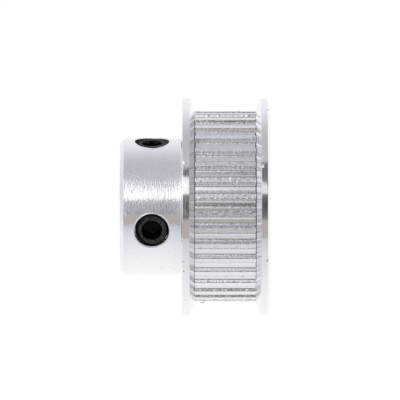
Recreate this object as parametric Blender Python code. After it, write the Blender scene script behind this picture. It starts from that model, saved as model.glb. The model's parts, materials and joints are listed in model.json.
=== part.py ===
"""Timing belt pulley: 36 teeth of MXL pitch, two staked belt flanges and a plain hub with two M4 set screws.

The pulley turns about the Y axis. The origin is on that axis, midway between the belt flanges. The hub points
to -Y. An angle round the axis is an elevation: it is measured from +X towards +Z. Lengths are in metres.
"""

from math import asin, cos, pi, radians, sin, sqrt, tan

import bmesh
import bpy
from mathutils import Matrix, Vector

MM = 0.001

# Belt teeth. The pitch line of the belt runs outside the tooth tips.
TOOTH_COUNT = 36
BELT_PITCH = 2.032 * MM
PITCH_LINE_OFFSET = 0.254 * MM
TIP_RADIUS = TOOTH_COUNT * BELT_PITCH / (2 * pi) - PITCH_LINE_OFFSET
GROOVE_DEPTH = 0.508 * MM
GROOVE_OPENING = 1.32 * MM
GROOVE_FLOOR = 0.95 * MM
TIP_ROUNDING = 0.10 * MM
FIRST_GROOVE_ANGLE = radians(7.9)
TOOTHED_WIDTH = 7.26 * MM

# Belt flanges: rings pressed on a seat at each end of the teeth, with a coned belt side.
FLANGE_RADIUS = 13.0 * MM
FLANGE_BELT_FACE = 3.68 * MM
FLANGE_OUTER_FACE = 5.25 * MM
FLANGE_CONE = radians(20)
FLANGE_BEVEL_RADIAL = 0.85 * MM
FLANGE_BEVEL_AXIAL = 0.14 * MM
SEAT_RADIUS = 10.2 * MM
SEAT_CLEARANCE = 0.03 * MM

# Hub and bore.
HUB_RADIUS = 8.15 * MM
HUB_LENGTH = 7.3 * MM
HUB_END = -(FLANGE_OUTER_FACE + HUB_LENGTH)
HUB_CHAMFER = 0.45 * MM
BORE_RADIUS = 3.175 * MM
BORE_CHAMFER = 0.3 * MM

# Set screws. The front one is drilled a few degrees wide of a right angle from the top one.
SCREW_CENTRE = HUB_END + 3.8 * MM
SCREW_ELEVATION = {"set_screw_top": radians(90), "set_screw_front": radians(-4)}
SCREW_RADIUS = 1.97 * MM
SCREW_LENGTH = 4.0 * MM
SCREW_FACE_AT = 7.88 * MM
SCREW_FACE_CHAMFER = 0.23 * MM
SCREW_CUP_RADIUS = 1.0 * MM
SCREW_CUP_DEPTH = 0.45 * MM
SOCKET_ACROSS_FLATS = 2.0 * MM
SOCKET_DEPTH = 1.9 * MM
SOCKET_DRILL_POINT = 0.35 * MM
SOCKET_MOUTH_RADIUS = 1.22 * MM
SOCKET_TURN = radians(5)
HOLE_RADIUS = 2.05 * MM
HOLE_COUNTERSINK_AT = 7.92 * MM

RING_SEGMENTS = 144
HOLE_SEGMENTS = 48
OVERSHOOT = 0.4 * MM


def clear_scene():
    for obj in list(bpy.data.objects):
        bpy.data.objects.remove(obj, do_unlink=True)


def metal(name, colour, roughness):
    material = bpy.data.materials.new(name)
    material.use_nodes = True
    shader = material.node_tree.nodes["Principled BSDF"]
    shader.inputs["Base Color"].default_value = (*colour, 1.0)
    shader.inputs["Metallic"].default_value = 1.0
    shader.inputs["Roughness"].default_value = roughness
    return material


def object_from(builder, name, material=None):
    """An object made of the bmesh. One with no material is a helper that the render leaves out."""
    bmesh.ops.recalc_face_normals(builder, faces=builder.faces)
    mesh = bpy.data.meshes.new(name)
    builder.to_mesh(mesh)
    builder.free()
    mesh.shade_smooth()
    mesh.set_sharp_from_angle(angle=radians(30))
    obj = bpy.data.objects.new(name, mesh)
    bpy.context.scene.collection.objects.link(obj)
    if material:
        mesh.materials.append(material)
    else:
        obj.hide_render = True
        obj.display_type = "WIRE"
    return obj


def round_axis(radius, angle, along):
    """The point at this radius, elevation and place along the Y axis."""
    return Vector((radius * cos(angle), along, radius * sin(angle)))


def turned(outline, segments):
    """A bmesh turned about the Y axis from a closed outline of (along, radius) points."""
    builder = bmesh.new()
    rings = []
    for along, radius in outline:
        if radius == 0:
            rings.append([builder.verts.new(round_axis(0, 0, along))] * segments)
            continue
        angles = [2 * pi * step / segments for step in range(segments)]
        rings.append([builder.verts.new(round_axis(radius, angle, along)) for angle in angles])
    for ring, after in zip(rings, rings[1:] + rings[:1]):
        for step in range(segments):
            beside = (step + 1) % segments
            corners = [ring[step], ring[beside], after[beside], after[step]]
            distinct = list(dict.fromkeys(corners))
            if len(distinct) > 2:
                builder.faces.new(distinct)
    return builder


def boolean(obj, other, operation):
    modifier = obj.modifiers.new(f"{operation.lower()} {other.name}", "BOOLEAN")
    modifier.operation = operation
    modifier.object = other
    modifier.solver = "EXACT"


def rounded_tip(side, angle, half_land):
    """Three points over the rounded corner of a land, from the corner's groove side to its top."""
    start = TIP_RADIUS - TIP_ROUNDING
    points = []
    for turn in (0, pi / 4, pi / 2):
        radius = start + TIP_ROUNDING * sin(turn)
        inward = TIP_ROUNDING * (1 - cos(turn)) / TIP_RADIUS
        points.append((radius, angle + side * (half_land - inward)))
    return points


def tooth_outline():
    """(radius, angle) points round the teeth: for each tooth, a groove's flat floor and then a land."""
    step = 2 * pi / TOOTH_COUNT
    half_floor = GROOVE_FLOOR / 2 / (TIP_RADIUS - GROOVE_DEPTH)
    half_land = step / 2 - GROOVE_OPENING / 2 / TIP_RADIUS
    points = []
    for tooth in range(TOOTH_COUNT):
        groove = FIRST_GROOVE_ANGLE + tooth * step
        land = groove + step / 2
        floor_corner = (TIP_RADIUS - GROOVE_DEPTH) / cos(half_floor)
        points.append((floor_corner, groove - half_floor))
        points.append((floor_corner, groove + half_floor))
        points.extend(rounded_tip(-1, land, half_land))
        points.append((TIP_RADIUS, land))
        points.extend(reversed(rounded_tip(1, land, half_land)))
    return points


def toothed_bar():
    """The hobbed bar: the tooth outline along the whole toothed width."""
    builder = bmesh.new()
    ends = []
    for along in (-TOOTHED_WIDTH / 2, TOOTHED_WIDTH / 2):
        ends.append([builder.verts.new(round_axis(radius, angle, along)) for radius, angle in tooth_outline()])
    low, high = ends
    for index in range(len(low)):
        after = (index + 1) % len(low)
        builder.faces.new([low[index], low[after], high[after], high[index]])
    builder.faces.new(low)
    builder.faces.new(high)
    return builder


def turned_core():
    """Everything of the body but its teeth: the hub and the two flange seats."""
    outline = [
        (HUB_END, 0),
        (HUB_END, HUB_RADIUS - HUB_CHAMFER),
        (HUB_END + HUB_CHAMFER, HUB_RADIUS),
        (-FLANGE_OUTER_FACE, HUB_RADIUS),
        (-FLANGE_OUTER_FACE, SEAT_RADIUS),
        (FLANGE_OUTER_FACE, SEAT_RADIUS),
        (FLANGE_OUTER_FACE, 0),
    ]
    return object_from(turned(outline, RING_SEGMENTS), "turned_core")


def bore_cutter():
    mouth = BORE_RADIUS + BORE_CHAMFER + OVERSHOOT
    outline = [
        (HUB_END - OVERSHOOT, 0),
        (HUB_END - OVERSHOOT, mouth),
        (HUB_END + BORE_CHAMFER, BORE_RADIUS),
        (FLANGE_OUTER_FACE - BORE_CHAMFER, BORE_RADIUS),
        (FLANGE_OUTER_FACE + OVERSHOOT, mouth),
        (FLANGE_OUTER_FACE + OVERSHOOT, 0),
    ]
    return object_from(turned(outline, HOLE_SEGMENTS), "bore_cutter")


def place_on_screw_axis(obj, elevation):
    """Stands an object turned about Y on a screw's axis, its own +Y pointing out of the hub."""
    outward = Vector((cos(elevation), 0, sin(elevation)))
    hub_way = Vector((0, -1, 0))
    across = outward.cross(hub_way)
    turn = Matrix((across, outward, hub_way)).transposed()
    obj.matrix_world = Matrix.Translation((0, SCREW_CENTRE, 0)) @ turn.to_4x4()


def screw_hole_cutter(name, elevation):
    """The tapped hole at its full thread radius, with a countersink that breaks the hub's edge."""
    top = HUB_RADIUS + OVERSHOOT
    outline = [
        (0, 0),
        (0, HOLE_RADIUS),
        (HOLE_COUNTERSINK_AT, HOLE_RADIUS),
        (top, HOLE_RADIUS + top - HOLE_COUNTERSINK_AT),
        (top, 0),
    ]
    cutter = object_from(turned(outline, HOLE_SEGMENTS), f"{name}_hole")
    place_on_screw_axis(cutter, elevation)
    return cutter


def pulley_body(material):
    body = object_from(toothed_bar(), "pulley_body", material)
    boolean(body, turned_core(), "UNION")
    boolean(body, bore_cutter(), "DIFFERENCE")
    for name, elevation in SCREW_ELEVATION.items():
        boolean(body, screw_hole_cutter(name, elevation), "DIFFERENCE")
    return body


def flange(name, side, material):
    """A belt flange on the +Y side (side 1) or on the hub side (side -1)."""
    cone_rise = (FLANGE_RADIUS - TIP_RADIUS) * tan(FLANGE_CONE)
    inner_radius = SEAT_RADIUS + SEAT_CLEARANCE
    outline = [
        (FLANGE_BELT_FACE, inner_radius),
        (FLANGE_BELT_FACE, TIP_RADIUS),
        (FLANGE_BELT_FACE + cone_rise, FLANGE_RADIUS),
        (FLANGE_OUTER_FACE - FLANGE_BEVEL_AXIAL, FLANGE_RADIUS),
        (FLANGE_OUTER_FACE, FLANGE_RADIUS - FLANGE_BEVEL_RADIAL),
        (FLANGE_OUTER_FACE, inner_radius),
    ]
    mirrored = [(side * along, radius) for along, radius in outline]
    return object_from(turned(mirrored, RING_SEGMENTS), name, material)


def socket_cutter(name):
    """The hexagon socket with its drill point, its flats square to the pulley's axis but for a small turn."""
    corner_radius = SOCKET_ACROSS_FLATS / sqrt(3)
    floor = SCREW_FACE_AT - SOCKET_DEPTH
    outline = [
        (floor - SOCKET_DRILL_POINT, 0),
        (floor, corner_radius),
        (SCREW_FACE_AT + OVERSHOOT, corner_radius),
        (SCREW_FACE_AT + OVERSHOOT, 0),
    ]
    builder = turned(outline, 6)
    bmesh.ops.rotate(builder, verts=builder.verts, matrix=Matrix.Rotation(SOCKET_TURN, 3, "Y"))
    return object_from(builder, f"{name}_socket")


def socket_mouth_cutter(name):
    """The shallow cone that breaks the socket's corners at the screw's face."""
    outline = [
        (SCREW_FACE_AT - SOCKET_MOUTH_RADIUS, 0),
        (SCREW_FACE_AT + OVERSHOOT, SOCKET_MOUTH_RADIUS + OVERSHOOT),
        (SCREW_FACE_AT + OVERSHOOT, 0),
    ]
    return object_from(turned(outline, HOLE_SEGMENTS), f"{name}_socket_mouth")


def set_screw(name, elevation, material):
    """A cup-point socket set screw, turned about its axis with the origin on the pulley's axis."""
    tip = SCREW_FACE_AT - SCREW_LENGTH
    point_cone = SCREW_RADIUS - SCREW_CUP_RADIUS
    outline = [
        (tip + SCREW_CUP_DEPTH, 0),
        (tip, SCREW_CUP_RADIUS),
        (tip + point_cone, SCREW_RADIUS),
        (SCREW_FACE_AT - SCREW_FACE_CHAMFER, SCREW_RADIUS),
        (SCREW_FACE_AT, SCREW_RADIUS - SCREW_FACE_CHAMFER),
        (SCREW_FACE_AT, 0),
    ]
    screw = object_from(turned(outline, HOLE_SEGMENTS), name, material)
    for cutter in (socket_cutter(name), socket_mouth_cutter(name)):
        place_on_screw_axis(cutter, elevation)
        boolean(screw, cutter, "DIFFERENCE")
    place_on_screw_axis(screw, elevation)
    return screw


def main():
    clear_scene()
    body = pulley_body(metal("turned_aluminium", (0.80, 0.80, 0.82), 0.35))
    pieces = [
        flange("hub_flange", -1, metal("hub_flange_aluminium", (0.84, 0.84, 0.86), 0.16)),
        flange("end_flange", 1, metal("end_flange_aluminium", (0.84, 0.84, 0.86), 0.16)),
    ]
    for name, elevation in SCREW_ELEVATION.items():
        pieces.append(set_screw(name, elevation, metal(f"{name}_black_oxide", (0.03, 0.03, 0.035), 0.42)))
    for piece in pieces:
        piece.parent = body


main()
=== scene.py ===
"""The finished look of the timing belt pulley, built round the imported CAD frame.

The pulley's axis is Y, its hub points to -Y, and the origin is midway between the belt flanges. An angle
round the axis is an elevation, measured from +X towards +Z. Lengths are in metres, except where mm is said.
"""

import json
from math import cos, floor, pi, radians, sin, sqrt, tan

import bmesh
import bpy
from mathutils import Matrix, Vector, noise


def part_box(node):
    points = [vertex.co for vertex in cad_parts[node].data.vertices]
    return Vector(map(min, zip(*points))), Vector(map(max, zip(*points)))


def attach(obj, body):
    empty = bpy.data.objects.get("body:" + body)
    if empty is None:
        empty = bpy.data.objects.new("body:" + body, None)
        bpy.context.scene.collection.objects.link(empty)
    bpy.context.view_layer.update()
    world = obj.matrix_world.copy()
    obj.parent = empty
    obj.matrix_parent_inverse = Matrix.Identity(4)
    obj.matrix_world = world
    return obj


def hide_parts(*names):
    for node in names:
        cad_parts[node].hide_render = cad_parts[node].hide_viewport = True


MM = 0.001

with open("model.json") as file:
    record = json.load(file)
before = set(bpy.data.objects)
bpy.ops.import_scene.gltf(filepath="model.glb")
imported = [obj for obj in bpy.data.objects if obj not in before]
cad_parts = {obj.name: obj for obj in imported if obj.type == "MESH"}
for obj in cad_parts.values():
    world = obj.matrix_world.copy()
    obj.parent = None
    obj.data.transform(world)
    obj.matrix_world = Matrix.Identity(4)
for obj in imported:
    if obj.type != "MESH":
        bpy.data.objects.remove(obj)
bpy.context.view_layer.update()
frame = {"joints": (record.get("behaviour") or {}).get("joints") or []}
body_low, body_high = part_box("pulley_body")
flange_low, flange_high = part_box("end_flange")

# Sizes that the frame gives.
HUB_END = body_low.y
END_FACE = body_high.y
FLANGE_RADIUS = flange_high.z
FLANGE_BELT_FACE = flange_low.y

# Where the photo seems to show the flanges' belt faces, a little off the CAD's. The hub's side is towards -Y.
HUB_SIDE_FACE = FLANGE_BELT_FACE + 0.015 * MM
END_SIDE_FACE = FLANGE_BELT_FACE - 0.06 * MM

# Sizes that part.py holds too.
TOOTH_COUNT = 36
BELT_PITCH = 2.032 * MM
TIP_RADIUS = TOOTH_COUNT * BELT_PITCH / (2 * pi) - 0.254 * MM
GROOVE_DEPTH = 0.508 * MM
GROOVE_OPENING = 1.32 * MM
GROOVE_FLOOR = 0.95 * MM
FIRST_GROOVE_ANGLE = radians(7.9)
FLANGE_CONE = radians(20)
SEAT_RADIUS = 10.2 * MM
SEAT_CLEARANCE = 0.03 * MM
HUB_RADIUS = 8.15 * MM
BORE_RADIUS = 3.175 * MM
SCREW_FACE_AT = 7.88 * MM
SCREW_LENGTH = 4.0 * MM
SOCKET_ACROSS_FLATS = 2.0 * MM
SOCKET_TURN = radians(5)

# The M4 thread: the screw's, and the hole's, which stands off it by the clearance.
THREAD_PITCH = 0.7 * MM
THREAD_CREST = 1.97 * MM
THREAD_ROOT = 1.57 * MM
THREAD_CLEARANCE = 0.07 * MM
HOLE_MOUTH = THREAD_CREST + THREAD_CLEARANCE + 0.01 * MM

# The rounding of the teeth's corners, where their sides are long enough for it.
ROOT_ROUNDING = 0.38 * MM
TIP_ROUNDING = 0.14 * MM

# Points round the turned part for each tooth. The toothed part has four times as many, so they join up.
TURNED_COLUMNS_PER_TOOTH = 5

# Hair scratches on the hub: (start along the axis in mm, its angle in degrees, and the same for the end).
HUB_SCRATCHES = [(-10.9, 45.2, -10.1, 40.6), (-11.1, 28.5, -10.6, 33.9), (-12.0, 12.5, -11.8, 9.6)]

# Nicks on the flanges' rims: (angle in degrees, place along the axis in mm, size). See add_nick.
HUB_SIDE_NICKS = [(39.9, -4.97, -1.0)]
END_SIDE_NICKS = [(79.4, 5.05, 0.7), (43.4, 4.34, -0.6), (38.0, 4.32, -1.2), (-12.0, 4.9, 0.8)]

# The places of the materials on the toothed body, on a flange, and on a set screw. The torn edges, the swarf
# and the darker oxide carry painted shade in their colours.
TURNED, LAND, GROOVE, SHADED_TORN_EDGE, SHADED_SWARF, FACED = range(6)
RIM, FLANGE_FACE = range(2)
OXIDE, SHADED_OXIDE = range(2)

# The camera.
CAMERA_ELEVATION = radians(17)
CAMERA_DISTANCE = 569 * MM
FRAME_WIDTH = 47.92 * MM
FRAME_CENTRE_ALONG = -3.036 * MM
FRAME_CENTRE_UP = 0.76 * MM

# The metal's faint blue, the dirt on it, and the colours of the light.
ALUMINIUM = (0.985, 0.99, 1.015)
DIRT = (0.22, 0.22, 0.23, 1.0)
WHITE = (1.0, 1.0, 1.0, 1.0)
CEILING_TINT = (0.975, 0.985, 1.045)
PAPER_TINT = (0.985, 0.99, 1.03)
WARM = (0.48, 0.445, 0.415)
STRIP_TINT = (0.995, 0.995, 1.01)
FILL_GLOW = (0.60, 0.61, 0.64, 1.0)
GAP_GLOW = (0.17, 0.175, 0.195, 1.0)


# Outlines and rings


def corner_arc(before, corner, after, radius, steps=4, most=0.45):
    """Points on the arc that rounds an outline's corner. It takes at most this share of the shorter side."""
    here = Vector(corner)
    back = Vector(before) - here
    ahead = Vector(after) - here
    half = back.angle(ahead) / 2
    reach = radius / tan(half)
    limit = most * min(back.length, ahead.length)
    if reach > limit:
        radius *= limit / reach
        reach = limit
    start = here + back.normalized() * reach
    end = here + ahead.normalized() * reach
    centre = here + (back.normalized() + ahead.normalized()).normalized() * radius / sin(half)
    spoke = start - centre
    turn = spoke.angle_signed(end - centre)
    arc = [centre + Matrix.Rotation(-turn * step / steps, 2) @ spoke for step in range(steps + 1)]
    return [(point.x, point.y) for point in arc]


def rounded(outline, closed):
    """The points of an outline of (along, radius, rounding) corners, with each corner rounded."""
    points = []
    for index, (along, radius, rounding) in enumerate(outline):
        is_end = index in (0, len(outline) - 1) and not closed
        if rounding == 0 or is_end:
            points.append((along, radius))
            continue
        before = outline[index - 1][:2]
        after = outline[(index + 1) % len(outline)][:2]
        points.extend(corner_arc(before, (along, radius), after, rounding))
    return with_holding_points(points, closed)


def with_holding_points(points, closed):
    """Adds a point near each end of each long straight, so that smooth shading keeps the straight flat."""
    near = 0.03 * MM
    held = []
    for index, point in enumerate(points):
        held.append(point)
        if index == len(points) - 1 and not closed:
            break
        start = Vector(point)
        end = Vector(points[(index + 1) % len(points)])
        way = end - start
        if way.length > 5 * near:
            step = way.normalized() * near
            held.append(tuple(start + step))
            held.append(tuple(end - step))
    return held


def round_axis(radius, angle, along):
    return Vector((radius * cos(angle), along, radius * sin(angle)))


def lathe_rings(builder, outline, angles, side=1):
    """A ring of vertices for each (along, radius) point of an outline. A side of -1 turns it end for end."""
    rings = []
    for along, radius in outline:
        rings.append([builder.verts.new(round_axis(radius, angle, side * along)) for angle in angles])
    return rings


def link_rings(builder, rings, closed, material_of=None):
    """Faces between neighbouring rings of vertices. A ring that shrinks to a point is one vertex repeated."""
    pairs = list(zip(rings, rings[1:]))
    if closed:
        pairs.append((rings[-1], rings[0]))
    for level, (ring, after) in enumerate(pairs):
        for step in range(len(ring)):
            beside = (step + 1) % len(ring)
            corners = list(dict.fromkeys([ring[step], ring[beside], after[beside], after[step]]))
            face = builder.faces.new(corners)
            if material_of:
                face.material_index = material_of(level, step)


def fan_rings(builder, coarse, fine):
    """Faces between a coarse ring and a fine one that has a whole number of times as many vertices."""
    times = len(fine) // len(coarse)
    for index, hub in enumerate(coarse):
        beside = coarse[(index + 1) % len(coarse)]
        first = index * times
        for step in range(times):
            builder.faces.new([hub, fine[first + step], fine[(first + step + 1) % len(fine)]])
        builder.faces.new([hub, fine[(first + times) % len(fine)], beside])


def add_tube(builder, path, radius, closed, sides=6, material_index=0):
    """A thin tube along a path. An open one ends in points."""
    rings = []
    for index, point in enumerate(path):
        before = path[index - 1] if index or closed else point
        after = path[(index + 1) % len(path)] if index < len(path) - 1 or closed else point
        ahead = (after - before).normalized()
        across = ahead.orthogonal().normalized() if not rings else side_of(ahead, across)
        over = ahead.cross(across)
        is_tip = not closed and index in (0, len(path) - 1)
        if is_tip:
            rings.append([builder.verts.new(point)] * sides)
            continue
        turns = [2 * pi * step / sides for step in range(sides)]
        rings.append([builder.verts.new(point + radius * (cos(t) * across + sin(t) * over)) for t in turns])
    link_rings(builder, rings, closed, lambda level, step: material_index)


def side_of(ahead, across):
    """The last ring's sideways direction, made square to the path again, so that the tube doesn't twist."""
    return (across - ahead * across.dot(ahead)).normalized()


# Pieces


def mesh_from(builder, name, materials=()):
    bmesh.ops.recalc_face_normals(builder, faces=builder.faces)
    mesh = bpy.data.meshes.new(name)
    builder.to_mesh(mesh)
    builder.free()
    for material in materials:
        mesh.materials.append(material)
    return mesh


def new_object(name, mesh):
    made = bpy.data.objects.new(name, mesh)
    bpy.context.scene.collection.objects.link(made)
    return made


def finish_piece(piece, body, node, sharp_angle=radians(32)):
    """Shades a piece, hangs it on the CAD body it rides on, and hides the CAD node that it stands for."""
    piece.data.shade_smooth()
    piece.data.set_sharp_from_angle(angle=sharp_angle)
    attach(piece, body)
    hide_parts(node)


def cut(piece, cutter_mesh):
    """Cuts the closed mesh out of the piece for good."""
    cutter = new_object("cutter", cutter_mesh)
    modifier = piece.modifiers.new("cut", "BOOLEAN")
    modifier.operation = "DIFFERENCE"
    modifier.solver = "EXACT"
    modifier.object = cutter
    graph = bpy.context.evaluated_depsgraph_get()
    result = bpy.data.meshes.new_from_object(piece.evaluated_get(graph), depsgraph=graph)
    piece.modifiers.remove(modifier)
    uncut = piece.data
    piece.data = result
    bpy.data.objects.remove(cutter)
    bpy.data.meshes.remove(cutter_mesh)
    bpy.data.meshes.remove(uncut)


# Threads and holes


def thread_radius(angle, height, crest, root):
    """The radius of a right-handed M4 thread at this angle and height. Its flats at crest and root are an
    eighth and a quarter of the pitch, and the two ends of its flank are shares of the pitch from a crest."""
    flank_top = 0.0625
    flank_foot = 0.375
    phase = height / THREAD_PITCH - angle / (2 * pi)
    from_crest = abs(phase - floor(phase + 0.5))
    flank = (flank_foot - from_crest) / (flank_foot - flank_top)
    return root + (crest - root) * min(1.0, max(0.0, flank))


def screw_frame(joint):
    """The matrix of a set screw's own frame: +Z out of the hub, and Y along the pulley's axis."""
    outward = Vector(joint["axis"]).normalized()
    along = Vector((0, 1, 0))
    across = along.cross(outward)
    turn = Matrix((across, along, outward)).transposed()
    return Matrix.Translation(Vector(joint["pos_m"])) @ turn.to_4x4()


def hub_surface(radius, angle):
    """How far out the hub's surface is, at this radius and angle round a set screw's axis."""
    return sqrt(HUB_RADIUS**2 - (radius * cos(angle)) ** 2)


def even_levels(low, high, step):
    count = round((high - low) / step)
    return [low + (high - low) * level / count for level in range(count + 1)]


def threaded_solid(place, levels, radius_at, cap_low, cap_high, around=96):
    """A bmesh of a solid round a screw's axis, whose radius is a function of angle and height."""
    builder = bmesh.new()
    rings = [[builder.verts.new(place @ Vector((0, 0, cap_low)))] * around]
    turns = [2 * pi * index / around for index in range(around)]
    for height in levels:
        spokes = [(radius_at(turn, height), turn) for turn in turns]
        ring = [Vector((radius * cos(turn), radius * sin(turn), height)) for radius, turn in spokes]
        rings.append([builder.verts.new(place @ point) for point in ring])
    rings.append([builder.verts.new(place @ Vector((0, 0, cap_high)))] * around)
    link_rings(builder, rings, closed=False)
    return builder


def tapped_hole(place):
    """The tapped hole from inside the bore to outside the hub, relieved at its mouth, with a broken edge."""
    low = 2.6 * MM
    thread_end = 7.2 * MM
    high = HUB_RADIUS + 0.3 * MM
    edge = 0.05 * MM
    roundness = 0.92

    def radius_at(angle, height):
        if height < thread_end:
            crest = THREAD_CREST + THREAD_CLEARANCE
            return thread_radius(angle, height, crest, THREAD_ROOT + THREAD_CLEARANCE)
        surface = hub_surface(HOLE_MOUTH, angle)
        rise = min(1.0, max(0.0, (height - surface + edge) / edge))
        above = max(0.0, height - surface)
        return HOLE_MOUTH + edge * (1 - sqrt(1 - roundness * rise**2)) + above

    threaded = even_levels(low, thread_end - 0.01 * MM, 0.06 * MM)
    mouth = even_levels(thread_end, high, 0.024 * MM)
    return threaded_solid(place, threaded + mouth, radius_at, cap_low=low, cap_high=high)


def add_ring_on_hub(builder, place, radius, thickness):
    """A thin ring round a screw hole, half sunk in the hub's surface."""
    turns = [2 * pi * index / 96 for index in range(96)]
    points = [Vector((radius * cos(t), radius * sin(t), hub_surface(radius, t))) for t in turns]
    add_tube(builder, [place @ point for point in points], thickness / 2, closed=True)


# The body


def tooth_columns():
    """The columns of points round the teeth, as (angle, radius, kind, tooth, side)."""
    step = 2 * pi / TOOTH_COUNT
    floor_radius = TIP_RADIUS - GROOVE_DEPTH
    root_corner = (GROOVE_FLOOR / 2, floor_radius)
    tip_corner = (GROOVE_OPENING / 2, TIP_RADIUS)
    land_middle = (GROOVE_OPENING / 2 + 0.35 * MM, TIP_RADIUS)
    root_arc = corner_arc((0, floor_radius), root_corner, tip_corner, ROOT_ROUNDING, steps=3, most=0.55)
    tip_arc = corner_arc(root_corner, tip_corner, land_middle, TIP_ROUNDING, steps=3)
    half = [(0.6 * root_arc[0][0], floor_radius, "floor")]
    half += [(across, height, "root") for across, height in root_arc]
    half += [(across, height, "tip") for across, height in tip_arc]
    columns = []
    for tooth in range(TOOTH_COUNT):
        groove = FIRST_GROOVE_ANGLE + tooth * step
        for side, points in ((-1, half[::-1]), (1, half)):
            for across, height, kind in points:
                columns.append((groove + side * across / height, height, kind, tooth, side))
        last = columns[-1][0]
        land = step - 2 * (last - groove)
        for share in (0.33, 0.67):
            columns.append((last + share * land, TIP_RADIUS, "land", tooth, 0))
    return columns


def burr(tooth, side, along):
    """How far the hob pushed up a land's edge here: a ragged crest with a few taller crumbs. The odd
    multiples of the tooth and the side give each edge its own stretch of the noise."""
    grain = 0.20 * MM
    crest_height = 0.018 * MM
    crumb_height = 0.24 * MM
    place = Vector((along / grain, tooth * 7.31, side * 3.7))
    fine = noise.noise(place)
    crumb = max(0.0, noise.noise(place * 1.7 + Vector((31.0, 5.0, 0.0))) - 0.25)
    weight = 0.75 + 0.7 * noise.noise(Vector((tooth * 1.37, side * 2.9, 4.0)))
    return (crest_height * (fine + 0.55) + crumb_height * crumb) * max(0.3, weight)


def chatter(tooth, side, along):
    """How far the hob's chatter moved a groove's rounded root here."""
    grain = 0.16 * MM
    height = 0.007 * MM
    return height * noise.noise(Vector((along / grain, tooth * 5.17, side * 2.3)))


def staking(face, way):
    """The turned groove and the rolled lip that hold a flange, going outwards over a face."""
    depth = 0.20 * MM * way
    inner, outer = 9.35 * MM, 9.95 * MM
    lip = 0.30 * MM
    fine = 0.05 * MM
    return [
        (face, inner, fine),
        (face - depth, inner + 0.12 * MM, fine),
        (face - depth, outer - 0.12 * MM, fine),
        (face, outer, fine),
        (face, SEAT_RADIUS + lip, 0.04 * MM),
        (face - lip * way, SEAT_RADIUS, 0.04 * MM),
    ]


def hub_outline():
    """The turned outline from the bore at the hub's end to the toothed section."""
    return [
        (HUB_END + 0.30 * MM, BORE_RADIUS, 0.06 * MM),
        (HUB_END, BORE_RADIUS + 0.30 * MM, 0.06 * MM),
        (HUB_END, HUB_RADIUS - 0.45 * MM, 0.08 * MM),
        (HUB_END + 0.45 * MM, HUB_RADIUS, 0.10 * MM),
        (-END_FACE, HUB_RADIUS, 0.10 * MM),
        *staking(-END_FACE, -1),
        (-FLANGE_BELT_FACE, SEAT_RADIUS, 0),
    ]


def end_outline():
    """The turned outline from the toothed section to the bore at the plain end."""
    return [
        (END_SIDE_FACE, SEAT_RADIUS, 0),
        *staking(END_FACE, 1)[::-1],
        (END_FACE, BORE_RADIUS + 0.30 * MM, 0.06 * MM),
        (END_FACE - 0.30 * MM, BORE_RADIUS, 0.06 * MM),
    ]


def turned_rings(builder, outline, first_angle):
    count = TOOTH_COUNT * TURNED_COLUMNS_PER_TOOTH
    angles = [first_angle + 2 * pi * step / count for step in range(count)]
    return lathe_rings(builder, outline, angles)


def turned_or_faced(outline):
    """The material_of for a turned outline: faced where it is steeper than a chamfer, else turned."""

    def material_of(level, step):
        along, radius = outline[level]
        next_along, next_radius = outline[level + 1]
        return FACED if abs(next_radius - radius) > 1.1 * abs(next_along - along) else TURNED

    return material_of


def tooth_material(columns):
    """The material_of for the toothed part: it goes by what the columns on a face's two sides are."""

    def material_of(level, step):
        kinds = {columns[step][2], columns[(step + 1) % len(columns)][2]}
        if "land" in kinds:
            return LAND
        # The tips' rounded edges take the material whose darker colour is painted shade.
        return SHADED_TORN_EDGE if kinds == {"tip"} else GROOVE

    return material_of


def end_gap(angle, on_hub_side):
    """How open the gap between teeth and flange is here, from 0 to 1. The flanges sit slightly askew, so
    each gap is widest at one angle."""
    if on_hub_side:
        return max(0.0, cos(angle - radians(66))) ** 2
    return max(0.0, cos(angle - radians(44)))


def toothed_ring(builder, columns, share, inset):
    """One ring of the toothed part, at a share of the way from the middle to the end: -1 at the hub's side
    and 1 at the far one. The grooves end a little further from the flange than the lands do."""
    ring = []
    for angle, radius, kind, tooth, side in columns:
        gap = end_gap(angle, on_hub_side=share < 0)
        end = FLANGE_BELT_FACE if share < 0 else END_SIDE_FACE
        land_end = end - (0.01 + 0.035 * gap) * MM
        groove_end = end - (0.03 + 0.08 * gap) * MM
        along = share * (land_end if kind in ("land", "tip") else groove_end)
        rise = 0.0
        if kind == "tip":
            rise = burr(tooth, side, along)
        elif kind == "root":
            rise = chatter(tooth, side, along)
        lean = side * 0.8 * rise / radius
        ring.append(builder.verts.new(round_axis(radius + rise - inset, angle - lean, along)))
    return ring


def toothed_rings(builder, columns):
    stations = 68
    chamfer = 0.02 * MM
    rings = [toothed_ring(builder, columns, -1, chamfer)]
    for station in range(stations + 1):
        share = (2 * station / stations - 1) * (1 - chamfer / FLANGE_BELT_FACE)
        rings.append(toothed_ring(builder, columns, share, 0))
    rings.append(toothed_ring(builder, columns, 1, chamfer))
    return rings


def toothed_body(materials):
    """Hub, seats and teeth as one turned and hobbed bar, with its two tapped holes and its burrs."""
    builder = bmesh.new()
    columns = tooth_columns()
    first_angle = columns[0][0]
    hub_points = rounded(hub_outline(), closed=False)
    end_points = rounded(end_outline(), closed=False)
    hub_side = turned_rings(builder, hub_points, first_angle)
    teeth = toothed_rings(builder, columns)
    end_side = turned_rings(builder, end_points, first_angle)

    link_rings(builder, hub_side, closed=False, material_of=turned_or_faced(hub_points))
    fan_rings(builder, hub_side[-1], teeth[0])
    link_rings(builder, teeth, closed=False, material_of=tooth_material(columns))
    fan_rings(builder, end_side[0], teeth[-1])
    link_rings(builder, end_side, closed=False, material_of=turned_or_faced(end_points))
    link_rings(builder, [end_side[-1], hub_side[0]], closed=False)
    body = new_object("toothed_body", mesh_from(builder, "toothed_body", materials))
    holes = [screw_frame(joint) for joint in frame["joints"]]
    cut_holes(body, holes)
    add_raised_metal(body, holes)
    finish_piece(body, "pulley", "pulley_body")


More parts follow.
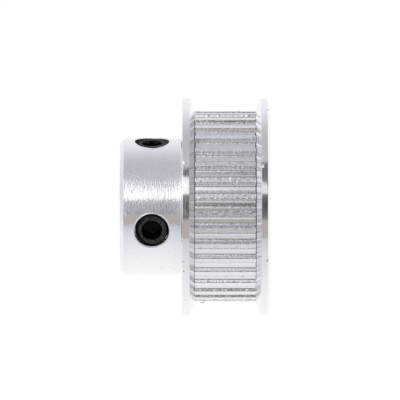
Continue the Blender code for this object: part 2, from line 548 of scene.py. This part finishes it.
def cut_holes(body, holes):
    """Cuts each tapped hole, and a thin ring a little way out from its mouth."""
    for place in holes:
        cut(body, mesh_from(tapped_hole(place), "tapped_hole"))
        ring = bmesh.new()
        add_ring_on_hub(ring, place, HOLE_MOUTH + 0.085 * MM, 0.09 * MM)
        cut(body, mesh_from(ring, "ring"))


def add_raised_metal(body, holes):
    """Adds a thin raised ring round each cut one, and the swarf on the teeth."""
    builder = bmesh.new()
    builder.from_mesh(body.data)
    for place in holes:
        add_ring_on_hub(builder, place, HOLE_MOUTH + 0.17 * MM, 0.08 * MM)
    add_swarf(builder)
    builder.to_mesh(body.data)
    builder.free()


def add_swarf(builder):
    """The curl and slivers that the hob left, as paths of (along in mm, angle in degrees, height over the
    teeth in mm)."""
    radius = 0.055 * MM
    curl = []
    for step in range(7):
        turn = radians(60 * step)
        curl.append((-3.35 + 0.25 * cos(turn), 58.7 + 1.2 * sin(turn), 0.16 + 0.04 * step))
    hair = [(3.1, 62.5, 0.05), (3.3, 61.9, 0.14), (3.5, 62.2, 0.20), (3.62, 61.2, 0.12)]
    stub = [(-3.1, -65.5, 0.05), (-2.9, -66.5, 0.22), (-2.6, -65.7, 0.16), (-2.4, -66.1, 0.05)]
    for path in (curl, hair, stub):
        points = []
        for along, angle, rise in path:
            points.append(round_axis(TIP_RADIUS + rise * MM, radians(angle), along * MM))
        # The swarf's material has shade painted into its colour.
        add_tube(builder, points, radius, closed=False, material_index=SHADED_SWARF)


# The flanges


def add_nick(builder, angle, along, size):
    """A small wedge of metal that a knock raised on a rim's edge. Its size is half its length, in degrees
    round the rim. It is raised at its lower end, or at its upper end if its size is negative."""
    raised_end = angle - size
    half = 0.15 * abs(size)
    sunk = FLANGE_RADIUS - 0.03 * MM
    raised = FLANGE_RADIUS + 0.09 * abs(size) * MM
    corners = [(sunk, end, along + way) for end in (raised_end, angle + size) for way in (-half, half)]
    corners += [(raised, raised_end, along - half), (raised, raised_end, along + 0.5 * half)]
    points = [round_axis(radius, radians(turn), place * MM) for radius, turn, place in corners]
    bmesh.ops.convex_hull(builder, input=[builder.verts.new(point) for point in points])


def flange(name, side, node, materials, belt_face, bevel_length, nicks):
    """A belt flange, with rounded corners, a chamfered bore for the staking, an outer bevel of this length
    along the axis, and nicks given as (angle, along, size)."""
    rim_start = belt_face + (FLANGE_RADIUS - TIP_RADIUS) * tan(FLANGE_CONE)
    bevel_drop = 0.85 * MM
    bore = SEAT_RADIUS + SEAT_CLEARANCE
    chamfer = 0.33 * MM
    outline = [
        (belt_face, bore, 0.05 * MM),
        (belt_face, TIP_RADIUS, 0.10 * MM),
        (rim_start, FLANGE_RADIUS, 0.03 * MM),
        (END_FACE - bevel_length, FLANGE_RADIUS, 0.06 * MM),
        (END_FACE, FLANGE_RADIUS - bevel_drop, 0.3 * MM),
        (END_FACE, bore + chamfer, 0.03 * MM),
        (END_FACE - chamfer, bore, 0.03 * MM),
    ]
    points = rounded(outline, closed=True)
    builder = bmesh.new()
    rings = lathe_rings(builder, points, [radians(1.25 * step) for step in range(288)], side)

    def rim_or_face(level, step):
        lowest = min(points[level][1], points[(level + 1) % len(points)][1])
        return RIM if lowest > FLANGE_RADIUS - 0.1 * MM else FLANGE_FACE

    link_rings(builder, rings, closed=True, material_of=rim_or_face)
    for nick in nicks:
        add_nick(builder, *nick)
    piece = new_object(name, mesh_from(builder, name, materials))
    finish_piece(piece, "pulley", node)


# The set screws


def set_screw(name, node, joint, materials):
    """A cup-point M4 set screw with its thread and its hexagon socket."""
    place = screw_frame(joint)
    tip = SCREW_FACE_AT - SCREW_LENGTH
    cup_radius = 1.0 * MM
    cup_depth = 0.45 * MM
    face_radius = 1.77 * MM

    def radius_at(angle, height):
        near_tip = cup_radius + (height - tip)
        near_face = face_radius + SCREW_FACE_AT - height
        return min(thread_radius(angle, height, THREAD_CREST, THREAD_ROOT), near_tip, near_face)

    levels = even_levels(tip, SCREW_FACE_AT, 0.045 * MM)
    builder = threaded_solid(place, levels, radius_at, cap_low=tip + cup_depth, cap_high=SCREW_FACE_AT)
    out_of_hub = place.inverted()
    # Below the face, the thread takes the darker copy of the oxide, as painted shade.
    for face in builder.faces:
        lowest = min((out_of_hub @ vertex.co).z for vertex in face.verts)
        face.material_index = OXIDE if lowest > SCREW_FACE_AT - 0.01 * MM else SHADED_OXIDE
    screw = new_object(name, mesh_from(builder, name, materials))
    cut(screw, socket(place))
    cut(screw, socket_mouth(place))
    finish_piece(screw, joint["child"], node, radians(28))


def painted_shade_cutter(builder, name):
    """A cutter's mesh whose cut takes the darker of a set screw's two materials, which paints shade into the
    socket.
    """
    for face in builder.faces:
        face.material_index = SHADED_OXIDE
    return mesh_from(builder, name)


def socket(place):
    """The broached hexagon and its drill point."""
    corner_radius = (SOCKET_ACROSS_FLATS + 0.05 * MM) / sqrt(3)
    drill_point = 0.4 * MM
    low = SCREW_FACE_AT - 1.9 * MM
    high = SCREW_FACE_AT + 0.3 * MM
    builder = bmesh.new()
    rings = [[builder.verts.new(place @ Vector((0, 0, low - drill_point)))] * 6]
    for height in (low, high):
        angles = [SOCKET_TURN + pi / 3 * index for index in range(6)]
        corners = [Vector((corner_radius * cos(a), corner_radius * sin(a), height)) for a in angles]
        rings.append([builder.verts.new(place @ corner) for corner in corners])
    rings.append([builder.verts.new(place @ Vector((0, 0, high)))] * 6)
    link_rings(builder, rings, closed=False)
    return painted_shade_cutter(builder, "socket")


def socket_mouth(place):
    """The steep cone that leads into the hexagon."""
    mouth = 1.23 * MM
    steepness = tan(radians(60))
    low = SCREW_FACE_AT - 0.5 * MM
    high = SCREW_FACE_AT + 0.3 * MM

    def radius_at(angle, height):
        return mouth + (height - SCREW_FACE_AT) / steepness

    levels = even_levels(low, high, 0.16 * MM)
    builder = threaded_solid(place, levels, radius_at, cap_low=low, cap_high=high, around=48)
    return painted_shade_cutter(builder, "socket_mouth")


# Shader helpers


def add_node(tree, kind, **values):
    """A node with its inputs set. An input's name has its spaces as underscores."""
    made = tree.nodes.new(kind)
    for key, value in values.items():
        made.inputs[key.replace("_", " ")].default_value = value
    return made


def feed(tree, socket_in, value):
    """Links an output to an input, or sets the input if the value is a plain one."""
    if isinstance(value, bpy.types.NodeSocket):
        tree.links.new(value, socket_in)
    else:
        socket_in.default_value = value


def math_node(tree, operation, *values):
    made = tree.nodes.new("ShaderNodeMath")
    made.operation = operation
    for socket_in, value in zip(made.inputs, values):
        feed(tree, socket_in, value)
    return made.outputs[0]


def join_xyz(tree, x, y, z):
    made = tree.nodes.new("ShaderNodeCombineXYZ")
    for socket_in, value in zip(made.inputs, (x, y, z)):
        feed(tree, socket_in, value)
    return made.outputs[0]


def position(tree):
    """The piece's own coordinates, which are the row frame's."""
    return tree.nodes.new("ShaderNodeTexCoord").outputs["Object"]


def position_xyz(tree):
    split = tree.nodes.new("ShaderNodeSeparateXYZ")
    tree.links.new(position(tree), split.inputs[0])
    return split.outputs


def lathe_vector(tree, around_scale, along_scale):
    """Coordinates for marks that run round the axis: quick along the turned outline, slow round the axis."""
    x, y, z = position_xyz(tree)
    squares = math_node(tree, "ADD", math_node(tree, "MULTIPLY", x, x), math_node(tree, "MULTIPLY", z, z))
    radius = math_node(tree, "MAXIMUM", math_node(tree, "SQRT", squares), 0.5 * MM)
    outline = math_node(tree, "MULTIPLY", math_node(tree, "ADD", y, radius), along_scale)
    turn_x = math_node(tree, "MULTIPLY", math_node(tree, "DIVIDE", x, radius), around_scale)
    turn_z = math_node(tree, "MULTIPLY", math_node(tree, "DIVIDE", z, radius), around_scale)
    return join_xyz(tree, turn_x, outline, turn_z)


def stretched_vector(tree, across, along):
    """Coordinates whose unit is this far across the teeth and this far along them."""
    stretch = tree.nodes.new("ShaderNodeMapping")
    stretch.inputs["Scale"].default_value = (1 / across, 1 / along, 1 / across)
    tree.links.new(position(tree), stretch.inputs["Vector"])
    return stretch.outputs[0]


def noise_node(tree, vector, scale=1.0, detail=3.0, roughness=0.6):
    made = add_node(tree, "ShaderNodeTexNoise", Scale=scale, Detail=detail, Roughness=roughness)
    tree.links.new(vector, made.inputs["Vector"])
    return made.outputs["Fac"]


def ramp_node(tree, value, stops):
    """A colour ramp from (place, colour) stops."""
    made = tree.nodes.new("ShaderNodeValToRGB")
    ramp = made.color_ramp
    while len(ramp.elements) < len(stops):
        ramp.elements.new(0.5)
    for element, (place, colour) in zip(ramp.elements, stops):
        element.position = place
        element.color = (*colour, 1.0)
    tree.links.new(value, made.inputs[0])
    return made.outputs["Color"]


def range_node(tree, value, from_low, from_high, to_low=0.0, to_high=1.0, smooth=False):
    made = tree.nodes.new("ShaderNodeMapRange")
    if smooth:
        made.interpolation_type = "SMOOTHSTEP"
    limits = {"From Min": from_low, "From Max": from_high, "To Min": to_low, "To Max": to_high}
    for name, limit in limits.items():
        made.inputs[name].default_value = limit
    tree.links.new(value, made.inputs["Value"])
    return made.outputs["Result"]


def mix_colours(tree, share, first, second):
    made = tree.nodes.new("ShaderNodeMixRGB")
    for socket_in, value in zip(made.inputs, (share, first, second)):
        feed(tree, socket_in, value)
    return made.outputs[0]


def bump_node(tree, height, distance):
    made = add_node(tree, "ShaderNodeBump", Strength=1.0, Distance=distance)
    tree.links.new(height, made.inputs["Height"])
    return made.outputs["Normal"]


def grey(value, tint=(1.0, 1.0, 1.0)):
    return tuple(value * channel for channel in tint)


def start_material(name, anisotropic=0.0):
    material = bpy.data.materials.new(name)
    material.use_nodes = True
    tree = material.node_tree
    shader = tree.nodes["Principled BSDF"]
    shader.inputs["Metallic"].default_value = 1.0
    if anisotropic:
        shader.inputs["Anisotropic"].default_value = anisotropic
        shader.inputs["Anisotropic Rotation"].default_value = 0.25
        tangent = tree.nodes.new("ShaderNodeTangent")
        tangent.direction_type = "RADIAL"
        tangent.axis = "Y"
        tree.links.new(tangent.outputs[0], shader.inputs["Tangent"])
    return material, tree, shader


# Materials


def dark_specks(tree, colour, size, threshold):
    """The colour with sparse dark specks over it."""
    spots = noise_node(tree, position(tree), scale=1 / size, detail=1.0)
    share = range_node(tree, spots, threshold, threshold + 0.05, 0.0, 0.7)
    return mix_colours(tree, share, colour, DIRT)


def vector_math(tree, operation, first, second):
    made = tree.nodes.new("ShaderNodeVectorMath")
    made.operation = operation
    feed(tree, made.inputs[0], first)
    feed(tree, made.inputs[1], second)
    return made


def scratch_distance(tree, place, scratch):
    """The distance in mm from a hair scratch, which is a straight line on the unrolled hub."""
    radius = HUB_RADIUS / MM
    start = Vector((scratch[0], radius * radians(scratch[1]), 0))
    way = Vector((scratch[2], radius * radians(scratch[3]), 0)) - start
    offset = vector_math(tree, "SUBTRACT", place, start).outputs[0]
    dot = vector_math(tree, "DOT_PRODUCT", offset, way).outputs["Value"]
    share = range_node(tree, dot, 0.0, way.length_squared)
    nearest = vector_math(tree, "MULTIPLY", share, way).outputs[0]
    return vector_math(tree, "DISTANCE", offset, nearest).outputs["Value"]


def hub_scratches(tree):
    """1 on the hub's hair scratches and 0 off them."""
    x, y, z = position_xyz(tree)
    along = math_node(tree, "DIVIDE", y, MM)
    around = math_node(tree, "MULTIPLY", math_node(tree, "ARCTAN2", z, x), HUB_RADIUS / MM)
    place = join_xyz(tree, along, around, 0.0)
    nearest = 1.0
    for scratch in HUB_SCRATCHES:
        nearest = math_node(tree, "MINIMUM", scratch_distance(tree, place, scratch), nearest)
    return range_node(tree, nearest, 0.02, 0.07, 1.0, 0.0)


def turned_aluminium():
    """The hub: fine turned lines round the axis, broken into short streaks."""
    material, tree, shader = start_material("turned_aluminium", anisotropic=0.7)
    streaks = noise_node(tree, lathe_vector(tree, 15.0, 1 / (0.13 * MM)), detail=2.0)
    scratches = hub_scratches(tree)
    colour = ramp_node(tree, streaks, [(0.3, grey(0.893, ALUMINIUM)), (0.7, grey(0.907, ALUMINIUM))])
    specked = dark_specks(tree, colour, 0.30 * MM, 0.75)
    tree.links.new(mix_colours(tree, scratches, specked, WHITE), shader.inputs["Base Color"])
    tree.links.new(range_node(tree, streaks, 0.38, 0.62, 0.17, 0.29), shader.inputs["Roughness"])
    height = math_node(tree, "SUBTRACT", streaks, math_node(tree, "MULTIPLY", scratches, 1.5))
    tree.links.new(bump_node(tree, height, 0.023 * MM), shader.inputs["Normal"])
    return material


def faced_aluminium():
    """The body's faces square to the axis: rings left by the facing tool, and a few specks."""
    material, tree, shader = start_material("faced_aluminium", anisotropic=0.6)
    rings = noise_node(tree, lathe_vector(tree, 1.5, 1 / (0.11 * MM)), detail=3.0)
    colour = ramp_node(tree, rings, [(0.3, grey(0.86, ALUMINIUM)), (0.7, grey(0.93, ALUMINIUM))])
    tree.links.new(dark_specks(tree, colour, 0.35 * MM, 0.75), shader.inputs["Base Color"])
    tree.links.new(range_node(tree, rings, 0.36, 0.64, 0.18, 0.34), shader.inputs["Roughness"])
    tree.links.new(bump_node(tree, rings, 0.010 * MM), shader.inputs["Normal"])
    return material


def land_aluminium():
    """The tooth lands: torn by the hob into rough strokes along the tooth."""
    material, tree, shader = start_material("land_aluminium")
    strokes = noise_node(tree, stretched_vector(tree, 0.15 * MM, 0.80 * MM), detail=3.0)
    colour = ramp_node(tree, strokes, [(0.3, grey(0.84, ALUMINIUM)), (0.7, grey(0.98, ALUMINIUM))])
    tree.links.new(colour, shader.inputs["Base Color"])
    tree.links.new(range_node(tree, strokes, 0.38, 0.62, 0.20, 0.46), shader.inputs["Roughness"])
    tree.links.new(bump_node(tree, strokes, 0.024 * MM), shader.inputs["Normal"])
    return material


def groove_aluminium():
    """The hobbed grooves: smoother, with fine lines along the tooth."""
    material, tree, shader = start_material("groove_aluminium")
    lines = noise_node(tree, stretched_vector(tree, 0.12 * MM, 0.50 * MM), detail=2.0)
    colour = ramp_node(tree, lines, [(0.3, grey(0.88, ALUMINIUM)), (0.7, grey(0.96, ALUMINIUM))])
    tree.links.new(colour, shader.inputs["Base Color"])
    tree.links.new(range_node(tree, lines, 0.38, 0.62, 0.17, 0.30), shader.inputs["Roughness"])
    tree.links.new(bump_node(tree, lines, 0.006 * MM), shader.inputs["Normal"])
    return material


def torn_edge_painted_shade():
    """The edges between the lands and the grooves: torn, and painted darker than either, as painted shade
    along the edges.
    """
    material, tree, shader = start_material("torn_edge_painted_shade")
    tears = noise_node(tree, stretched_vector(tree, 0.10 * MM, 0.35 * MM), detail=2.0)
    colour = ramp_node(tree, tears, [(0.3, grey(0.48, ALUMINIUM)), (0.7, grey(0.82, ALUMINIUM))])
    tree.links.new(colour, shader.inputs["Base Color"])
    tree.links.new(range_node(tree, tears, 0.38, 0.62, 0.22, 0.42), shader.inputs["Roughness"])
    tree.links.new(bump_node(tree, tears, 0.012 * MM), shader.inputs["Normal"])
    return material


def swarf_painted_shade():
    """Torn curls of metal, with painted shade: random near-black patches over the metal stand in for the
    shadow that the curls lie in.
    """
    material, tree, shader = start_material("swarf_painted_shade")
    shade_and_roughness_patches = noise_node(tree, position(tree), scale=1 / (0.20 * MM), detail=2.0)
    colour = ramp_node(tree, shade_and_roughness_patches, [(0.40, grey(0.10)), (0.62, grey(0.80))])
    tree.links.new(colour, shader.inputs["Base Color"])
    tree.links.new(range_node(tree, shade_and_roughness_patches, 0.4, 0.6, 0.25, 0.45), shader.inputs["Roughness"])
    tree.links.new(bump_node(tree, shade_and_roughness_patches, 0.03 * MM), shader.inputs["Normal"])
    return material


def polished_aluminium():
    """The flange rims: bright turned, nearly a mirror, with hair lines, dull flecks and specks of dirt."""
    material, tree, shader = start_material("polished_aluminium")
    fine = noise_node(tree, lathe_vector(tree, 6.0, 1 / (0.14 * MM)), detail=3.0)
    colour = ramp_node(tree, fine, [(0.3, grey(0.88)), (0.7, grey(0.93))])
    tree.links.new(dark_specks(tree, colour, 0.45 * MM, 0.72), shader.inputs["Base Color"])
    tree.links.new(range_node(tree, fine, 0.42, 0.64, 0.05, 0.16), shader.inputs["Roughness"])
    tree.links.new(bump_node(tree, fine, 0.005 * MM), shader.inputs["Normal"])
    return material


def flange_face_aluminium():
    """The flanges' cones and faces: turned and left duller than the rim."""
    material, tree, shader = start_material("flange_face_aluminium")
    fine = noise_node(tree, lathe_vector(tree, 3.0, 1 / (0.12 * MM)), detail=3.0)
    colour = ramp_node(tree, fine, [(0.3, grey(0.88)), (0.7, grey(0.94))])
    tree.links.new(colour, shader.inputs["Base Color"])
    tree.links.new(range_node(tree, fine, 0.3, 0.7, 0.18, 0.28), shader.inputs["Roughness"])
    tree.links.new(bump_node(tree, fine, 0.004 * MM), shader.inputs["Normal"])
    return material


def black_oxide(name, dark, middle, light):
    """The set screws: black oxide over steel, mottled, and brighter where the colour is thin."""
    material, tree, shader = start_material(name)
    shader.inputs["Specular Tint"].default_value = (0.62, 0.62, 0.63, 1.0)
    mottle = noise_node(tree, position(tree), scale=1 / (0.40 * MM), detail=3.0)
    colour = ramp_node(tree, mottle, [(0.30, grey(dark)), (0.50, grey(middle)), (0.70, grey(light))])
    tree.links.new(colour, shader.inputs["Base Color"])
    tree.links.new(range_node(tree, mottle, 0.3, 0.7, 0.34, 0.50), shader.inputs["Roughness"])
    tree.links.new(bump_node(tree, mottle, 0.02 * MM), shader.inputs["Normal"])
    return material


# The room


def towards_camera():
    return Vector((cos(CAMERA_ELEVATION), 0, sin(CAMERA_ELEVATION)))


def up_in_picture():
    return Vector((-sin(CAMERA_ELEVATION), 0, cos(CAMERA_ELEVATION)))


def place_camera():
    """A long lens square to the pulley's axis, a little above it."""
    back = towards_camera()
    target = Vector((0, FRAME_CENTRE_ALONG, 0)) + up_in_picture() * FRAME_CENTRE_UP
    data = bpy.data.cameras.new("camera")
    data.sensor_width = 36.0
    data.lens = data.sensor_width * CAMERA_DISTANCE / FRAME_WIDTH
    data.clip_start = 0.05
    data.clip_end = 10.0
    camera = new_object("camera", data)
    camera.location = target + back * CAMERA_DISTANCE
    camera.rotation_mode = "QUATERNION"
    camera.rotation_quaternion = back.to_track_quat("Z", "Y")
    bpy.context.scene.camera = camera


def direction_parts(tree, axes):
    """How far a ray's direction points along each of the axes."""
    ray = tree.nodes.new("ShaderNodeTexCoord").outputs["Generated"]
    parts = []
    for axis in axes:
        dot = tree.nodes.new("ShaderNodeVectorMath")
        dot.operation = "DOT_PRODUCT"
        dot.inputs[1].default_value = axis
        tree.links.new(ray, dot.inputs[0])
        parts.append(dot.outputs["Value"])
    return parts


def light_square_on():
    """The light tent's colours square to the pulley's axis, at angles over the camera's: the camera's dark
    gap at 0, and a brown block under it."""
    return [
        (-180, grey(0.98)),
        (-100, grey(0.93)),
        (-60, grey(0.79)),
        (-36, grey(0.63)),
        (-35, WARM),
        (-15, WARM),
        (-12, grey(0.17)),
        (1, grey(0.07)),
        (12, grey(0.16)),
        (14, grey(0.50)),
        (45, grey(0.60, CEILING_TINT)),
        (60, grey(0.54, CEILING_TINT)),
        (78, grey(0.54, CEILING_TINT)),
        (90, grey(0.60, CEILING_TINT)),
        (105, grey(0.75, CEILING_TINT)),
        (125, grey(0.91, CEILING_TINT)),
        (150, grey(0.95)),
        (170, grey(0.88)),
        (180, (0.80, 0.77, 0.75)),
    ]


def light_room():
    """A light tent. To the pulley's sides it is even, and brighter past the hub's end. To the camera itself
    it is white."""
    world = bpy.data.worlds.new("studio")
    world.use_nodes = True
    bpy.context.scene.world = world
    tree = world.node_tree
    up, back, along = direction_parts(tree, (up_in_picture(), towards_camera(), Vector((0, 1, 0))))
    share = range_node(tree, math_node(tree, "ARCTAN2", up, back), -pi, pi)
    past_hub = [(-180, 0.95), (-130, 0.92), (-80, 0.76), (80, 0.69), (130, 0.9), (180, 0.95)]
    past_end = [(-180, 0.93), (-130, 0.76), (-80, 0.45), (80, 0.50), (130, 0.85), (180, 0.95)]
    ahead = angle_ramp(tree, share, light_square_on())
    to_hub = angle_ramp(tree, share, [(angle, grey(value, PAPER_TINT)) for angle, value in past_hub])
    to_end = angle_ramp(tree, share, [(angle, grey(value, PAPER_TINT)) for angle, value in past_end])
    sideways = mix_colours(tree, range_node(tree, along, -0.3, 0.3, smooth=True), to_hub, to_end)
    how_far = range_node(tree, math_node(tree, "ABSOLUTE", along), 0.08, 0.28, smooth=True)
    room = mix_colours(tree, how_far, ahead, sideways)
    seen_by_camera = tree.nodes.new("ShaderNodeLightPath").outputs["Is Camera Ray"]
    colour = mix_colours(tree, seen_by_camera, room, WHITE)
    tree.links.new(colour, tree.nodes["Background"].inputs["Color"])


def angle_ramp(tree, share, stops):
    """A ramp over a whole turn, whose stops are in degrees from -180 to 180."""
    return ramp_node(tree, share, [((angle + 180) / 360, colour) for angle, colour in stops])


def stage_mesh(name, builder, material):
    new_object(name, mesh_from(builder, name, [material]))


def emission_only(name):
    """A new material with no surface yet."""
    material = bpy.data.materials.new(name)
    material.use_nodes = True
    tree = material.node_tree
    tree.nodes.remove(tree.nodes["Principled BSDF"])
    return material, tree


def show_by_ray(tree, to_others, to_camera):
    """Gives the surface one shader for the camera's own rays and another for all others."""
    path = tree.nodes.new("ShaderNodeLightPath")
    mix = tree.nodes.new("ShaderNodeMixShader")
    for socket_in, value in zip(mix.inputs, (path.outputs["Is Camera Ray"], to_others, to_camera)):
        tree.links.new(value, socket_in)
    tree.links.new(mix.outputs[0], tree.nodes["Material Output"].inputs["Surface"])


def card_material(name, colour_of):
    """A glow that only reflections see: to the camera itself the card is clear."""
    material, tree = emission_only(name)
    lit = add_node(tree, "ShaderNodeEmission")
    feed(tree, lit.inputs["Color"], colour_of(tree))
    clear = tree.nodes.new("ShaderNodeBsdfTransparent")
    show_by_ray(tree, lit.outputs[0], clear.outputs[0])
    return material


def curved_card(name, profile, material):
    """A card bent round the pulley, from a profile of (along in mm, lowest angle, highest angle). The
    angles are in degrees over the camera's."""
    distance = 100 * MM
    steps = 8
    builder = bmesh.new()
    rows = []
    for along, low, high in profile:
        angles = [CAMERA_ELEVATION + radians(low + (high - low) * step / steps) for step in range(steps + 1)]
        rows.append([builder.verts.new(round_axis(distance, angle, along * MM)) for angle in angles])
    for row, after in zip(rows, rows[1:]):
        for step in range(steps):
            builder.faces.new([row[step], row[step + 1], after[step + 1], after[step]])
    stage_mesh(name, builder, material)


def strip_colour(tree):
    """Brighter towards the hub's end."""
    share = range_node(tree, position_xyz(tree)[1], -14 * MM, 8 * MM)
    stops = [(0.0, 1.55), (0.25, 1.35), (0.42, 0.87), (0.78, 0.90), (1.0, 0.72)]
    return ramp_node(tree, share, [(place, grey(glow, STRIP_TINT)) for place, glow in stops])


def hang_cards():
    """The strip light over the camera, cut off aslant by a dark gap that widens towards the plain end, and a
    dimmer card that fills the camera's own dark gap where the hub reflects it."""
    strip = [(-60, 9.5, 50), (-16, 9.5, 39), (-13.7, 9.5, 32.5), (-5, 12.3, 28.9), (25, 12.3, 13)]
    gap = [(-13.7, 33.4, 33.6), (25, 13, 54.8)]
    fill = [(-60, -9, 9.4), (-7.8, -9, 9.4)]
    curved_card("bright_strip", strip, card_material("strip_card", strip_colour))
    curved_card("hub_fill", fill, card_material("fill_card", lambda tree: FILL_GLOW))
    curved_card("dark_gap", gap, card_material("gap_card", lambda tree: GAP_GLOW))


def lay_floor():
    """The floor, level with the lowest point of the flanges' rims."""
    half = 1.2
    builder = bmesh.new()
    corners = [(-half, -half), (half, -half), (half, half), (-half, half)]
    builder.faces.new([builder.verts.new((x, y, -FLANGE_RADIUS)) for x, y in corners])
    stage_mesh("floor", builder, floor_paper())


def floor_paper():
    """White paper that glows as it does in a light tent. A brown sheet begins where the last stop is."""
    material, tree = emission_only("floor_paper")
    reach = 80
    share = range_node(tree, position_xyz(tree)[0], 0.0, reach * MM)
    stops = [(0, grey(1.0)), (8.5 / reach, grey(0.965))]
    for x, glow in ((14.5, 0.89), (18.4, 0.84), (24, 0.79), (32, 0.745), (39, 0.69), (55, 0.64)):
        stops.append((x / reach, grey(glow, PAPER_TINT)))
    stops.append((56.5 / reach, WARM))
    lit = add_node(tree, "ShaderNodeEmission")
    tree.links.new(ramp_node(tree, share, stops), lit.inputs["Color"])
    white = add_node(tree, "ShaderNodeEmission", Strength=0.96)
    paper = add_node(tree, "ShaderNodeBsdfDiffuse", Color=(0.08, 0.08, 0.08, 1.0))
    both = tree.nodes.new("ShaderNodeAddShader")
    tree.links.new(white.outputs[0], both.inputs[0])
    tree.links.new(paper.outputs[0], both.inputs[1])
    show_by_ray(tree, lit.outputs[0], both.outputs[0])
    return material


def main():
    place_camera()
    light_room()
    lay_floor()
    hang_cards()
    bpy.context.scene.view_settings.view_transform = "Standard"
    teeth = [land_aluminium(), groove_aluminium(), torn_edge_painted_shade()]
    toothed_body([turned_aluminium(), *teeth, swarf_painted_shade(), faced_aluminium()])
    rings = [polished_aluminium(), flange_face_aluminium()]
    flange("hub_side_flange", -1, "hub_flange", rings, HUB_SIDE_FACE, 0.14 * MM, HUB_SIDE_NICKS)
    flange("end_side_flange", 1, "end_flange", rings, END_SIDE_FACE, 0.30 * MM, END_SIDE_NICKS)
    # The second oxide is the same finish made darker, as painted shade for the thread and the socket.
    screw_materials = [
        black_oxide("black_oxide", dark=0.026, middle=0.044, light=0.09),
        black_oxide("black_oxide_painted_shade", dark=0.006, middle=0.013, light=0.03),
    ]
    joints = {joint["child"]: joint for joint in frame["joints"]}
    set_screw("grub_screw_top", "set_screw_top", joints["top_screw"], screw_materials)
    set_screw("grub_screw_front", "set_screw_front", joints["front_screw"], screw_materials)


main()
